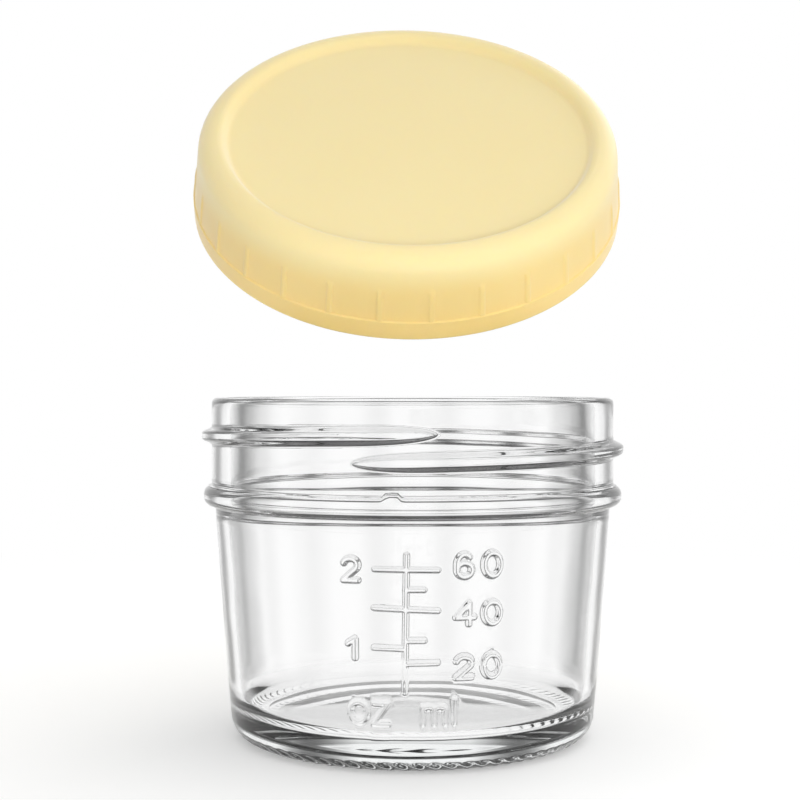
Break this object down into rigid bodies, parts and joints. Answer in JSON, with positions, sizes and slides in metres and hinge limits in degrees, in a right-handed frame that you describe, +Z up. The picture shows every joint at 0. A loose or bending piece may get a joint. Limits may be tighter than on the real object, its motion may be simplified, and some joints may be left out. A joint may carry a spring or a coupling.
{
  "type": "glass storage jar",
  "caption": "Small clear glass storage jar with a measuring scale, and its butter-yellow plastic screw lid lifted off above the open mouth.",
  "frame": {"origin": "middle of the jar's foot, on the surface that it stands on", "axes": "+Z up along the jar's axis, -Y towards the side with the measuring scale, +X to the right of it"},
  "size_m": [0.0743, 0.0789, 0.1235],
  "materials": {
    "glass": "clear pressed soda-lime glass",
    "lid_plastic": "butter-yellow moulded polypropylene, satin"
  },
  "bodies": {
    "root": {"jar": "glass", "lid": "lid_plastic"}
  },
  "joints": []
}
